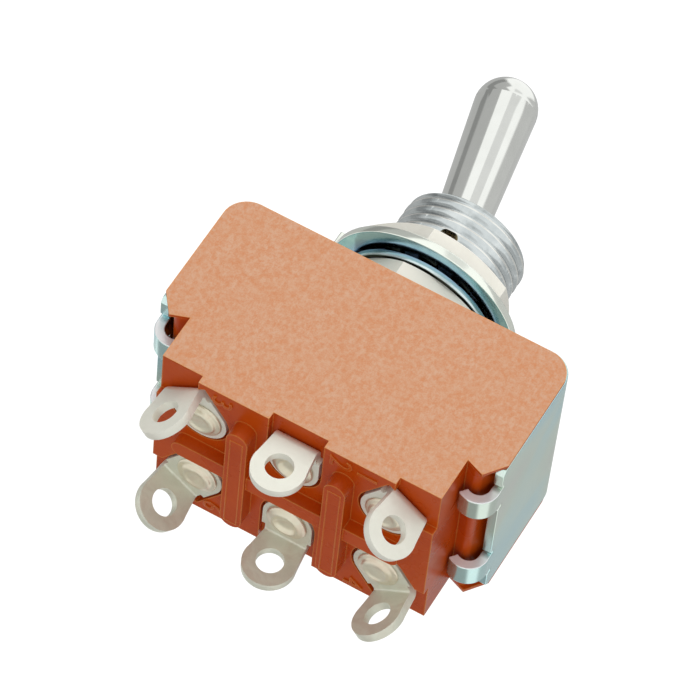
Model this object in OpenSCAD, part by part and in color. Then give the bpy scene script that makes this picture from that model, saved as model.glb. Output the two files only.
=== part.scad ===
// Panel toggle switch, two poles, changeover.
// Origin: axis of the threaded bushing, on the top face of the steel frame.
// +Z points along the bushing towards the lever, +X along the body, +Y across it.
// The lever is shown thrown towards -X.

/* [Case] */
// Length of the case over its side flanges
case_l = 33; // [31:0.5:36]
// Width of the case over its two flat faces
case_w = 18.8; // [18.2:0.2:21]
// Thickness of the flange that edges the frame on each flat face
flange_t = 0.35; // [0.3:0.05:0.6]
// How far the flanges stop below the frame's top face
flange_drop = 0.3; // [0.2:0.1:0.6]
// Radius of the two upper corners
corner_r = 2.35; // [1.8:0.05:2.8]
// Depth of the straight sides below the frame's top face
side_depth = 12.25; // [11.6:0.05:12.6]
// Depth of the tips of the two ears
ear_depth = 14.2; // [13.9:0.05:14.5]
// Radius of the ridge that the hooks curl under
ear_r = 0.6; // [0.4:0.05:0.7]
// How far the ear tips stand in from the sides
ear_inset = 1.45; // [1.2:0.05:1.6]
// Depth of the notches between ears and terminal block
notch_depth = 13.55; // [13.3:0.05:13.7]
// How far the terminal block stands in from the sides
block_inset = 3.15; // [3:0.05:3.3]
// Depth of the lowest face of the terminal block
block_depth = 18.8; // [18.4:0.1:20]
// Depth of the lug pockets in that face
pocket_h = 0.75; // [0.5:0.05:1]
// Thickness of the floor that the rivets go through
floor_t = 2.55; // [2.2:0.05:2.8]
// Wall of the cavity behind the flat faces
wall_w = 1.7; // [1.4:0.1:1.9]
// Wall of the cavity at its two ends
wall_l = 1.6; // [1.3:0.1:1.8]
// Height of the barrier between the two poles
barrier_h = 5.8; // [4:0.1:6]

/* [Terminals] */
// Distance from the flat faces in to each row of rivets
row_inset = 5; // [4.8:0.1:5.2]
// Distance from the sides of the terminal block in to the corner rivets
column_inset = 4.45; // [4.2:0.05:4.7]
// Angle of the corner lugs, from the X axis to the way they face
corner_turn = 54; // [50:1:58]
// Thickness of the lug metal
lug_t = 0.8; // [0.6:0.05:0.9]
// Width of a lug
lug_w = 4.8; // [4.4:0.1:5]
// Distance from the rivet's axis to the tab's outer face
lug_reach = 3.5; // [3.3:0.05:3.6]
// Radius of the eye in a lug
eye_r = 1.25; // [1:0.05:1.4]
// Depth of the eye below the pocket floor
eye_drop = 3.45; // [3:0.05:4]
// Radius of the rivet's shank
shank_r = 1.25; // [1.1:0.05:1.4]
// Radius of the rivet's pressed head
rivet_r = 1.95; // [1.8:0.05:2.1]

/* [Frame] */
// Thickness of the frame's steel
frame_t = 0.9; // [0.8:0.05:1]
// Depth of the legs' lower edges
leg_depth = 13.05; // [12.8:0.05:13.1]
// Width of a hook
hook_w = 2.5; // [2:0.1:3]
// Distance from the middle to each hook
hook_y = 5.2; // [4.6:0.1:5.8]
// Inner radius of a hook's bend
hook_r = 1; // [0.95:0.05:1.05]
// Arc of a hook's bend, in degrees
hook_arc = 128; // [110:1:130]

/* [Bushing and nuts] */
// Radius over the thread's crests
thread_r = 5.94; // [5.9:0.01:5.97]
// Radius at the thread's roots, where the nuts are screwed on
core_r = 5.45; // [5.4:0.01:5.6]
// Height of the bushing above the frame
bushing_h = 12.2; // [11.6:0.1:13]
// Chamfer at the bushing's rim
rim_chamfer = 0.35; // [0.2:0.05:0.5]
// Width of the keyway
keyway_w = 1.75; // [1.4:0.05:2]
// Radius from the axis to the keyway's floor
keyway_floor_r = 5.05; // [5:0.05:5.3]
// Height at which the keyway runs out of the thread
keyway_top = 8.2; // [7.6:0.1:8.6]
// Size of the nuts across their flats
nut_flats = 14; // [14:0.1:15]
// Thickness of a nut
nut_t = 2.6; // [2.4:0.1:2.8]
// Outer radius of the tooth washer
washer_r = 7.5; // [7.3:0.1:7.8]
// Height of the tooth washer over its twisted teeth
washer_h = 1; // [0.9:0.05:1.1]
// Number of teeth in the washer
teeth = 12; // [10:1:14]
// Outer radius of the locking ring
ring_r = 9.15; // [8.8:0.05:9.4]
// Thickness of the locking ring
ring_t = 0.8; // [0.7:0.05:1]
// Width of the locking ring's tab
tab_w = 2.4; // [2:0.1:3]
// Height of the tab above the ring's lower face
tab_h = 2.7; // [2.2:0.1:3]

/* [Lever] */
// Height of the lever's pivot above the frame
pivot_h = 7; // [6.8:0.1:7.2]
// Tilt of the lever from upright at each end of its throw
tilt = 11.5; // [10:0.5:12]
// Radius of the ball at the pivot
ball_r = 3.2; // [3:0.05:3.25]
// Radius of the lever where it leaves the ball
neck_r = 2.2; // [2:0.05:2.3]
// Radius of the lever's round tip
tip_r = 2.95; // [2.7:0.05:3.1]
// Distance from the pivot to the centre of the round tip
tip_l = 19.75; // [16:0.25:22]
// Radius of the pivot pin
pin_r = 0.75; // [0.6:0.05:0.85]

/* [Mechanism] */
// Depth of the rockers' axis below the frame
rocker_depth = 11.6; // [11.4:0.1:11.8]
// Tilt of a rocker at each end of its throw
rocker_tilt = 5.5; // [5:0.1:5.8]
// Width of a rocker
rocker_w = 4.4; // [4:0.1:4.6]
// Thickness of a rocker's arms
rocker_t = 0.8; // [0.7:0.05:0.9]
// Height of the valley's lowest point above a rocker's axis
valley_h = 1.2; // [1.1:0.05:1.3]
// Radius of the fulcrum's rounded edge
edge_r = 0.5; // [0.4:0.05:0.5]
// Radius of a plunger
plunger_r = 1.1; // [1:0.05:1.2]
// Diameter of the spring wire
wire_d = 0.3; // [0.2:0.05:0.35]
// Number of turns in a spring
spring_turns = 5; // [4:1:6]

/* [Hidden] */

// Clearances
fit_gap = 0.05;      // running fit of a pin, plunger or ball
slip_gap = 0.02;     // pieces of one body that sit in one another
touch_gap = 0.02;    // closed contacts
ride_gap = 0.06;     // plunger tip over the rocker's valley
overlap = 0.01;      // depth by which cutters pass a face

round_fn = 64;
small_fn = 32;

// Case
half_l = case_l / 2;
half_w = case_w / 2;
seat_y = half_w - flange_t;
ear_x = half_l - ear_inset;
block_x = half_l - block_inset;
column_x = block_x - column_inset;
row_y = half_w - row_inset;
pocket_z = -block_depth + pocket_h;
floor_z = pocket_z + floor_t;
cavity_x = block_x - wall_l;
cavity_y = half_w - wall_w;
cavity_corner_r = 1.5;
barrier_t = 1.2;
pocket_gap = 0.25;
corner_pocket_x = column_x + 0.55;
corner_pocket_y = row_y + 0.35;
rib_t = 2.05;
rib_x = column_x / 2 + 0.25;
rib_h = 1.55;
rib_y = half_w - 2.4;
cross_rib_t = 1.75;
cross_rib_h = 1.2;
cross_rib_x = block_x - 2.35;

// Frame
frame_x = half_l + 0.05;
frame_y = seat_y - fit_gap;
leg_x = frame_x - frame_t;
seat_corner_r = corner_r - frame_t + 0.1;
hook_start_z = -13.4;
hook_x = leg_x - hook_r;
relief_w = 0.5;
relief_h = 0.5;
leg_chamfer = 0.6;

// Bushing
collar_r = 7.4;
collar_t = 1;
neck_of_bushing_r = 5.4;
ball_seat_r = ball_r + fit_gap;
ball_seat_h = 2.6;
mouth_r = 3.95;
throat_r = 3.6;
keyway_cutter_r = 5;
pin_front_y = -(keyway_floor_r - 0.45);
pin_back_y = thread_r - 0.7;

// Nuts and rings, from the frame up
nut_bore_r = core_r + fit_gap;
ring_bore_r = thread_r + fit_gap;
nut_corner_r = nut_flats / 2 / cos(30);
nut_chamfer = 0.3;
jam_nut_turn = -99.5;
face_nut_turn = -95.5;
washer_z = nut_t;
ring_z = washer_z + washer_h;
face_nut_z = ring_z + ring_t;
washer_t = 0.55;
tooth_t = 0.45;
tooth_twist = 12;
tooth_root_r = 6.8;
tooth_tip_r = ring_bore_r + 0.1;
tab_t = 0.6;
key_w = keyway_w - 2 * fit_gap;
key_tip_r = keyway_floor_r + 0.15;

// Lever and its driver, measured from the pivot with the lever upright
stem_r = 1.6;
stem_l = 13.6;
driver_x = 2.4;
driver_y = row_y + 2.5;
driver_top = -10.2;
driver_bottom = -15;
pivot_to_rocker = pivot_h + rocker_depth;
tip_reach = pivot_to_rocker - valley_h - ride_gap - plunger_r;
spring_bore_top = -11.1;
plunger_top = -13;

// Valley of a rocker: the plunger's tip follows an arc of this radius in the rocker's own frame
function valley_x(a, b) = tip_reach * sin(a) * cos(b) - (pivot_to_rocker - tip_reach * cos(a)) * sin(b);
function valley_z(a, b) = tip_reach * sin(a) * sin(b) + (pivot_to_rocker - tip_reach * cos(a)) * cos(b);
tip_rise = valley_z(tilt, rocker_tilt) - (pivot_to_rocker - tip_reach);
tip_path_r = (pow(valley_x(tilt, rocker_tilt), 2) + pow(tip_rise, 2)) / (2 * tip_rise);
valley_r = tip_path_r + plunger_r + ride_gap;

// Rocker
arm_z = 0.2;
shoulder_x = 4.4;
shoulder_z = 2.3;
tip_disc_r = 1.35;
tip_disc_h = 0.5;
tip_dome_r = 4.5;
contact_reach = column_x - 0.2;
arm_x = contact_reach + tip_disc_r + 0.05;
groove_r = edge_r + ride_gap;

// Lowest point of a closed contact tip, and with it the top of the fixed contact
dome_z = arm_z - tip_disc_h + tip_dome_r;
contact_top = -rocker_depth - contact_reach * sin(rocker_tilt) + dome_z * cos(rocker_tilt)
              - tip_dome_r - touch_gap;
contact_t = 0.6;
contact_r = 1.75;

// Rivets: a corner head is stepped and all but flat, a middle head is a cone with a dish
lug_face_z = pocket_z - lug_t;
head_rim_h = 0.2;
head_rise = 0.35;
head_taper = 0.15;
step_r = 1.45;
corner_dish_r = 0.8;
corner_dish_depth = 0.1;
middle_dish_r = 1.1;
middle_dish_depth = 0.35;
fulcrum_t = 0.7;
fulcrum_head_h = 0.6;
fulcrum_head_r = 1.45;
fulcrum_y = 1.55;
fulcrum_base_x = 1.8;
fulcrum_top_x = 0.5;

case_color = "#c26a35";
steel_color = "#c3cccb";
nickel_color = "#b9bcbe";
nut_color = "#dedbd0";
silver_color = "#d8d3c6";
brass_color = "#c9a24d";
driver_color = "#2b2a28";

// ---- helpers ----

// Extrudes an XZ outline along Y, from y = from_y to y = to_y
module along_y(from_y, to_y) {
  translate([0, to_y, 0])
    rotate([90, 0, 0])
      linear_extrude(to_y - from_y) children();
}

// Rectangle with rounded upper corners; its top edge lies at z = top
module round_top(half_x, top, bottom, r) {
  translate([-half_x, bottom])
    square([2 * half_x, top - r - bottom]);
  translate([-(half_x - r), bottom])
    square([2 * (half_x - r), top - bottom]);
  for (side = [-1, 1])
    translate([side * (half_x - r), top - r])
      circle(r, $fn = round_fn);
}

// Rectangle about the origin with four rounded corners
module round_rect(half_x, half_y, r) {
  square([2 * (half_x - r), 2 * half_y], center = true);
  square([2 * half_x, 2 * (half_y - r)], center = true);
  for (x = [-1, 1], y = [-1, 1])
    translate([x * (half_x - r), y * (half_y - r)])
      circle(r, $fn = small_fn);
}

// Stadium that runs from the origin along +X
module slot_2d(length, w) {
  circle(d = w, $fn = small_fn);
  translate([0, -w / 2])
    square([length, w]);
}

function row_sign(n) = n <= 3 ? -1 : 1;
function column_sign(n) = n == 1 || n == 4 ? 1 : n == 2 || n == 5 ? 0 : -1;
function rivet_xy(n) = [column_sign(n) * column_x, row_sign(n) * row_y];

// Direction that a lug faces, from the X axis
function lug_turn(n) = column_sign(n) == 0 ? row_sign(n) * 90
  : atan2(row_sign(n) * sin(corner_turn), column_sign(n) * cos(corner_turn));

module at_lug(n) {
  translate(rivet_xy(n))
    rotate(lug_turn(n)) children();
}

module at_pole(side) {
  translate([0, side == "front" ? -row_y : row_y, 0]) children();
}

// The lever's own upright frame, turned about the pivot into the thrown place
module thrown() {
  translate([0, 0, pivot_h])
    rotate([0, -tilt, 0]) children();
}

// A rocker's own level frame, turned about its fulcrum into the matching place
module rocked(side) {
  at_pole(side)
    translate([0, 0, -rocker_depth])
      rotate([0, rocker_tilt, 0]) children();
}

// ---- case ----

module flange_outline() {
  round_top(half_l, -flange_drop, -side_depth, corner_r);
  polygon([[-half_l, -side_depth], [-ear_x, -ear_depth], [-block_x, -notch_depth],
           [block_x, -notch_depth], [ear_x, -ear_depth], [half_l, -side_depth]]);
  translate([-block_x, -block_depth])
    square([2 * block_x, block_depth - notch_depth + overlap]);
}

// Section between the flanges, set back so that the frame's legs lie flush
module core_outline() {
  side_end = [leg_x, -side_depth + 0.9];
  notch = [block_x, -notch_depth];
  ear = [ear_x - 0.35, -ear_depth + 0.1];
  to_side = (side_end - ear) / norm(side_end - ear);
  to_notch = (notch - ear) / norm(notch - ear);
  half_angle = acos(to_side * to_notch) / 2;
  to_centre = (to_side + to_notch) / norm(to_side + to_notch);
  round_top(leg_x, -frame_t, side_end.y, seat_corner_r);
  for (side = [-1, 1])
    scale([side, 1]) {
      polygon([[0, side_end.y], side_end, ear + to_side * ear_r / tan(half_angle),
               ear + to_notch * ear_r / tan(half_angle), notch, [0, notch.y]]);
      translate(ear + to_centre * ear_r / sin(half_angle))
        circle(ear_r, $fn = small_fn);
    }
  translate([-block_x, -block_depth])
    square([2 * block_x, block_depth - notch_depth + overlap]);
}

module cavity() {
  translate([0, 0, floor_z])
    linear_extrude(-floor_z)
      round_rect(cavity_x, cavity_y, cavity_corner_r);
}

// Pocket floor around one lug, open to the outside of the block
module pocket(n) {
  base_w = lug_w + 2 * pocket_gap;
  translate([0, 0, -block_depth - overlap])
    linear_extrude(pocket_h + overlap) {
      at_lug(n) slot_2d(column_sign(n) == 0 ? half_w : lug_reach, base_w);
      if (column_sign(n) != 0)
        scale([column_sign(n), row_sign(n)])
          translate([corner_pocket_x, corner_pocket_y])
            square([half_l, half_w]);
    }
}

module ribs() {
  for (x = [-rib_x, rib_x])
    translate([x, 0, -block_depth - rib_h])
      linear_extrude(rib_h + overlap)
        round_rect(rib_t / 2, rib_y, rib_t / 2 - overlap);
  translate([0, 0, -block_depth - cross_rib_h])
    linear_extrude(cross_rib_h + overlap)
      round_rect(cross_rib_x, cross_rib_t / 2, cross_rib_t / 2 - overlap);
}

module case() {
  color(case_color)
    union() {
      difference() {
        union() {
          along_y(-half_w, -seat_y) flange_outline();
          along_y(seat_y, half_w) flange_outline();
          along_y(-seat_y - overlap, seat_y + overlap) core_outline();
        }
        cavity();
        for (n = [1 : 6]) {
          pocket(n);
          translate([rivet_xy(n).x, rivet_xy(n).y, -block_depth - 1])
            cylinder(h = block_depth, r = shank_r + slip_gap, $fn = small_fn);
        }
      }
      ribs();
      translate([-cavity_x - overlap, -barrier_t / 2, floor_z - overlap])
        cube([2 * (cavity_x + overlap), barrier_t, barrier_h + overlap]);
    }
}

// ---- frame ----

module frame_section(bottom) {
  difference() {
    round_top(frame_x, 0, bottom, corner_r);
    round_top(leg_x, -frame_t, bottom - 1, corner_r - frame_t);
  }
}

// Strip that leaves the leg and curls in under the ear
module hook_section(side) {
  arc_end = [hook_x + 3 * hook_r * cos(hook_arc), hook_start_z - 3 * hook_r * sin(hook_arc)];
  scale([side, 1]) {
    translate([leg_x, hook_start_z])
      square([frame_t, -hook_start_z - leg_depth + 1]);
    intersection() {
      difference() {
        translate([hook_x, hook_start_z]) circle(hook_r + frame_t, $fn = round_fn);
        translate([hook_x, hook_start_z]) circle(hook_r, $fn = round_fn);
      }
      polygon([[hook_x, hook_start_z], [hook_x + 4, hook_start_z], [hook_x + 4, hook_start_z - 4],
               [hook_x - 1, hook_start_z - 4], arc_end]);
    }
  }
}

module frame() {
  color(steel_color)
    difference() {
      union() {
        along_y(-frame_y, frame_y) frame_section(-leg_depth);
        for (side = [-1, 1], y = [-hook_y, hook_y])
          along_y(y - hook_w / 2, y + hook_w / 2) hook_section(side);
      }
      translate([0, 0, -frame_t - 1])
        cylinder(h = frame_t + 2, r = neck_of_bushing_r + slip_gap, $fn = round_fn);
      // Reliefs beside the hooks
      for (y = [-hook_y, hook_y], edge = [-1, 1])
        translate([-case_l, y + edge * (hook_w + relief_w) / 2 - relief_w / 2, -leg_depth - 1])
          cube([2 * case_l, relief_w, relief_h + 1]);
      // Cut corners of the legs
      for (y = [-1, 1])
        translate([0, y * frame_y, -leg_depth])
          rotate([45, 0, 0])
            cube([2 * case_l, leg_chamfer, leg_chamfer], center = true);
    }
}

// ---- bushing and its pin ----

module keyway_cutter() {
  // The cutter's disc runs out of the thread at keyway_top
  run = sqrt(pow(keyway_cutter_r, 2) - pow(keyway_cutter_r + keyway_floor_r - thread_r, 2));
  disc_z = keyway_top - run;
  translate([-keyway_w / 2, -keyway_floor_r - 2, -overlap])
    cube([keyway_w, 2, disc_z + overlap]);
  translate([-keyway_w / 2, -keyway_floor_r - keyway_cutter_r, disc_z])
    rotate([0, 90, 0])
      cylinder(h = keyway_w, r = keyway_cutter_r, $fn = round_fn);
}

module pin_bore(r, from_y, to_y) {
  translate([0, to_y, pivot_h])
    rotate([90, 0, 0])
      cylinder(h = to_y - from_y, r = r, $fn = small_fn);
}

// Turns the thread down to its roots over the height that a nut takes up
module nut_run(from_z) {
  translate([0, 0, from_z - slip_gap])
    difference() {
      cylinder(h = nut_t + 2 * slip_gap, r = thread_r + 1, $fn = round_fn);
      translate([0, 0, -1])
        cylinder(h = nut_t + 2, r = core_r, $fn = round_fn);
    }
}

module bushing() {
  color(nickel_color)
    difference() {
      union() {
        cylinder(h = bushing_h - rim_chamfer, r = thread_r, $fn = round_fn);
        translate([0, 0, bushing_h - rim_chamfer])
          cylinder(h = rim_chamfer, r1 = thread_r, r2 = thread_r - rim_chamfer, $fn = round_fn);
        translate([0, 0, -frame_t])
          cylinder(h = frame_t, r = neck_of_bushing_r, $fn = round_fn);
        translate([0, 0, -frame_t - collar_t])
          cylinder(h = collar_t, r = collar_r, $fn = round_fn);
      }
      translate([0, 0, -frame_t - collar_t - 1])
        cylinder(h = bushing_h + 4, r = ball_seat_r, $fn = round_fn);
      translate([0, 0, -frame_t - collar_t - 1])
        cylinder(h = frame_t + collar_t + 1 + pivot_h - ball_seat_h, r = throat_r, $fn = round_fn);
      translate([0, 0, pivot_h + ball_seat_h])
        cylinder(h = bushing_h, r = mouth_r, $fn = round_fn);
      nut_run(0);
      nut_run(face_nut_z);
      keyway_cutter();
      pin_bore(pin_r + slip_gap, pin_front_y - slip_gap, thread_r + 1);
    }
}

module pivot_pin() {
  color(steel_color) pin_bore(pin_r, pin_front_y, pin_back_y);
}

// ---- nuts, washer and ring ----

// Hexagon nut; the corners of its upper side are turned off at 30 degrees
module hex_nut() {
  turned_h = (nut_corner_r - nut_flats / 2) * tan(30);
  color(nut_color)
    difference() {
      intersection() {
        cylinder(h = nut_t, r = nut_corner_r, $fn = 6);
        union() {
          cylinder(h = nut_t - turned_h, r = nut_corner_r + overlap, $fn = round_fn);
          translate([0, 0, nut_t - turned_h - overlap])
            cylinder(h = turned_h + overlap, r1 = nut_corner_r + overlap, r2 = nut_flats / 2, $fn = round_fn);
        }
      }
      translate([0, 0, -1])
        cylinder(h = nut_t + 2, r = nut_bore_r, $fn = round_fn);
    }
}

module jam_nut() {
  rotate(jam_nut_turn) hex_nut();
}

module face_nut() {
  translate([0, 0, face_nut_z])
    rotate(face_nut_turn) hex_nut();
}

// Rim with twisted teeth that point inwards
module tooth_washer() {
  tooth_w = 0.55 * 2 * PI * tooth_root_r / teeth;
  color(steel_color)
    union() {
      translate([0, 0, washer_z + slip_gap])
        difference() {
          cylinder(h = washer_t, r = washer_r, $fn = round_fn);
          translate([0, 0, -1])
            cylinder(h = washer_t + 2, r = tooth_root_r, $fn = round_fn);
        }
      for (n = [0 : teeth - 1])
        rotate(n * 360 / teeth)
          translate([tooth_tip_r, 0, washer_z + washer_h / 2])
            rotate([tooth_twist, 0, 0])
              translate([0, -tooth_w / 2, -tooth_t / 2])
                cube([tooth_root_r - tooth_tip_r + 0.15, tooth_w, tooth_t]);
    }
}

module locking_ring() {
  color(steel_color)
    translate([0, 0, ring_z]) {
      difference() {
        cylinder(h = ring_t, r = ring_r, $fn = round_fn);
        translate([0, 0, -1])
          cylinder(h = ring_t + 2, r = ring_bore_r, $fn = round_fn);
      }
      // Key in the keyway
      translate([-key_w / 2, -ring_bore_r - 0.3, 0])
        cube([key_w, ring_bore_r + 0.3 - key_tip_r, ring_t]);
      // Tab that stands up into the panel
      translate([-ring_r - tab_t / 2, -tab_w / 2, 0])
        cube([tab_t, tab_w, tab_h]);
    }
}

// ---- lever, driver, plungers and springs ----

module lever() {
  taper = atan2(tip_r - neck_r, tip_l - 2);
  color(nickel_color)
    thrown()
      difference() {
        union() {
          sphere(ball_r, $fn = round_fn);
          cylinder(h = tip_l, r1 = neck_r, r2 = tip_r, $fn = round_fn);
          translate([0, 0, tip_l + tip_r * sin(taper)])
            sphere(tip_r * cos(taper), $fn = round_fn);
          translate([0, 0, -stem_l])
            cylinder(h = stem_l, r = stem_r, $fn = small_fn);
        }
        rotate([90, 0, 0])
          cylinder(h = 2 * ball_r + 2, r = pin_r + fit_gap, center = true, $fn = small_fn);
      }
}

// Moulded driver: a bar across both poles with a blind hole for each spring and plunger
module actuator() {
  color(driver_color)
    thrown()
      difference() {
        union() {
          translate([0, 0, driver_bottom])
            linear_extrude(driver_top - driver_bottom)
              round_rect(driver_x, driver_y, driver_x - overlap);
        }
        translate([0, 0, -stem_l - slip_gap])
          cylinder(h = stem_l, r = stem_r + slip_gap, $fn = small_fn);
        for (y = [-row_y, row_y])
          translate([0, y, driver_bottom - 1])
            cylinder(h = spring_bore_top - driver_bottom + 1, r = plunger_r + fit_gap, $fn = small_fn);
      }
}

module plunger(side) {
  color(brass_color)
    thrown()
      at_pole(side)
        translate([0, 0, -tip_reach]) {
          cylinder(h = plunger_top + tip_reach, r = plunger_r, $fn = small_fn);
          sphere(plunger_r, $fn = small_fn);
        }
}

// Points of one wire section, at an angle along the coil
function wire_ring(turn, z, coil_r, sides) = [
  for (n = [0 : sides - 1])
    let (a = 360 * n / sides, r = coil_r + wire_d / 2 * cos(a))
      [r * cos(turn), r * sin(turn), z + wire_d / 2 * sin(a)]
];

module spring(side) {
  sides = 6;
  per_turn = 14;
  steps = spring_turns * per_turn;
  coil_r = plunger_r - wire_d / 2 - 0.05;
  low = plunger_top + wire_d / 2 + slip_gap;
  high = spring_bore_top - wire_d / 2 - slip_gap;
  points = [for (i = [0 : steps])
    each wire_ring(i * 360 / per_turn, low + (high - low) * i / steps, coil_r, sides)];
  walls = [for (i = [0 : steps - 1], n = [0 : sides - 1])
    let (a = i * sides + n, b = i * sides + (n + 1) % sides)
      [b, b + sides, a + sides, a]];
  caps = [[for (n = [sides - 1 : -1 : 0]) n], [for (n = [0 : sides - 1]) steps * sides + n]];
  color(steel_color)
    thrown()
      at_pole(side) polyhedron(points, concat(walls, caps), convexity = 10);
}

// ---- rockers, fulcrums and fixed contacts ----

module rocker_outline() {
  arm_top = arm_z + rocker_t;
  difference() {
    polygon([[-arm_x, arm_z], [-arm_x, arm_top], [-shoulder_x - 1, arm_top], [-shoulder_x, shoulder_z],
             [shoulder_x, shoulder_z], [shoulder_x + 1, arm_top], [arm_x, arm_top], [arm_x, arm_z],
             [shoulder_x + 0.5, arm_z], [shoulder_x - 0.4, shoulder_z - 1], [1.5, 0.45], [1, 0],
             [-1, 0], [-1.5, 0.45], [-shoulder_x + 0.4, shoulder_z - 1], [-shoulder_x - 0.5, arm_z]]);
    translate([0, valley_h + valley_r])
      circle(valley_r, $fn = 180);
    circle(groove_r, $fn = small_fn);
  }
}

module rocker(side) {
  color(brass_color)
    rocked(side)
      along_y(-rocker_w / 2, rocker_w / 2) rocker_outline();
}

// Domed contact tips under the two ends of a rocker
module rocker_tips(side) {
  color(silver_color)
    rocked(side)
      for (x = [-contact_reach, contact_reach])
        translate([x, 0, 0])
          intersection() {
            translate([0, 0, arm_z - tip_disc_h])
              cylinder(h = tip_disc_h, r = tip_disc_r, $fn = small_fn);
            translate([0, 0, dome_z])
              sphere(tip_dome_r, $fn = round_fn);
          }
}

// Bracket on a middle rivet: two upright walls whose round edges carry the rocker
module fulcrum(side) {
  wall_outline = [[-fulcrum_base_x, floor_z], [fulcrum_base_x, floor_z],
                  [fulcrum_top_x, -rocker_depth], [-fulcrum_top_x, -rocker_depth]];
  color(brass_color)
    at_pole(side)
      difference() {
        union() {
          translate([-fulcrum_base_x - 1, -fulcrum_y - fulcrum_t, floor_z])
            cube([2 * fulcrum_base_x + 2, 2 * (fulcrum_y + fulcrum_t), fulcrum_t]);
          for (y = [-fulcrum_y - fulcrum_t, fulcrum_y])
            along_y(y, y + fulcrum_t) {
              polygon(wall_outline);
              translate([0, -rocker_depth])
                circle(edge_r, $fn = small_fn);
            }
        }
        translate([0, 0, floor_z - 1])
          cylinder(h = fulcrum_t + 2, r = shank_r + slip_gap, $fn = small_fn);
      }
}

module contact(n) {
  color(silver_color)
    translate([rivet_xy(n).x, rivet_xy(n).y, contact_top - contact_t])
      cylinder(h = contact_t, r = contact_r, $fn = small_fn);
}

// ---- lugs and rivets ----

module lug(n) {
  bend_r = lug_t + 0.2;
  bend_w = lug_w - 0.7;
  inner_x = lug_reach - lug_t;
  bend_x = lug_reach - bend_r;
  end_drop = eye_drop + 0.15;
  color(silver_color)
    translate([0, 0, pocket_z])
      at_lug(n)
        difference() {
          union() {
            translate([0, 0, -lug_t])
              linear_extrude(lug_t) {
                slot_2d(bend_x - 0.5, lug_w);
                translate([0, -bend_w / 2])
                  square([bend_x + overlap, bend_w]);
              }
            // Quarter bend from the base into the tab
            along_y(-bend_w / 2, bend_w / 2)
              intersection() {
                difference() {
                  translate([bend_x, -bend_r]) circle(bend_r, $fn = round_fn);
                  translate([bend_x, -bend_r]) circle(bend_r - lug_t, $fn = small_fn);
                }
                translate([bend_x, -bend_r]) square(2 * bend_r);
              }
            // Tab that widens to its round end
            translate([inner_x, 0, 0])
              rotate([0, 90, 0])
                linear_extrude(lug_t) {
                  polygon([[bend_r - overlap, -bend_w / 2], [end_drop, -lug_w / 2],
                           [end_drop, lug_w / 2], [bend_r - overlap, bend_w / 2]]);
                  translate([end_drop, 0])
                    circle(d = lug_w, $fn = round_fn);
                }
          }
          translate([inner_x - 1, 0, -eye_drop])
            rotate([0, 90, 0])
              cylinder(h = lug_t + 2, r = eye_r, $fn = round_fn);
          translate([0, 0, -lug_t - 1])
            cylinder(h = lug_t + 2, r = shank_r + slip_gap, $fn = small_fn);
        }
}

// Head that is pressed over the lug, measured down from the lug's face
module pressed_head(middle) {
  dish_r = middle ? middle_dish_r : corner_dish_r;
  dish_depth = middle ? middle_dish_depth : corner_dish_depth;
  top_r = middle ? middle_dish_r + head_taper : step_r - head_taper;
  base_r = middle ? rivet_r : step_r;
  difference() {
    union() {
      translate([0, 0, -head_rim_h])
        cylinder(h = head_rim_h, r1 = middle ? rivet_r : rivet_r - head_taper, r2 = rivet_r, $fn = round_fn);
      translate([0, 0, -head_rim_h - head_rise])
        cylinder(h = head_rise, r1 = top_r, r2 = base_r, $fn = round_fn);
    }
    translate([0, 0, -head_rim_h - head_rise - overlap])
      cylinder(h = dish_depth + overlap, r1 = dish_r, r2 = 0.6 * dish_r, $fn = round_fn);
  }
}

// Solid rivet: shank through the floor, pressed head over the lug, thick or thin head inside
module rivet(n) {
  middle = column_sign(n) == 0;
  inner_z = middle ? floor_z + fulcrum_t : floor_z;
  inner_h = middle ? fulcrum_head_h : contact_top - contact_t - floor_z;
  inner_r = middle ? fulcrum_head_r : contact_r;
  color(silver_color)
    translate([rivet_xy(n).x, rivet_xy(n).y, 0])
      union() {
        translate([0, 0, lug_face_z - overlap])
          cylinder(h = inner_z - lug_face_z + 2 * overlap, r = shank_r, $fn = small_fn);
        translate([0, 0, inner_z])
          cylinder(h = inner_h, r = inner_r, $fn = small_fn);
        translate([0, 0, lug_face_z]) pressed_head(middle);
      }
}

case();
frame();
bushing();
lever();
pivot_pin();
jam_nut();
tooth_washer();
locking_ring();
face_nut();
actuator();
for (n = [1 : 6]) {
  lug(n);
  rivet(n);
}
for (n = [1, 3, 4, 6])
  contact(n);
for (side = ["front", "back"]) {
  fulcrum(side);
  rocker(side);
  rocker_tips(side);
  plunger(side);
  spring(side);
}
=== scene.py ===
"""Looks of a two-pole panel toggle switch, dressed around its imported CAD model. Metres."""
import math

import bpy
from mathutils import Matrix, Vector, noise


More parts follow.
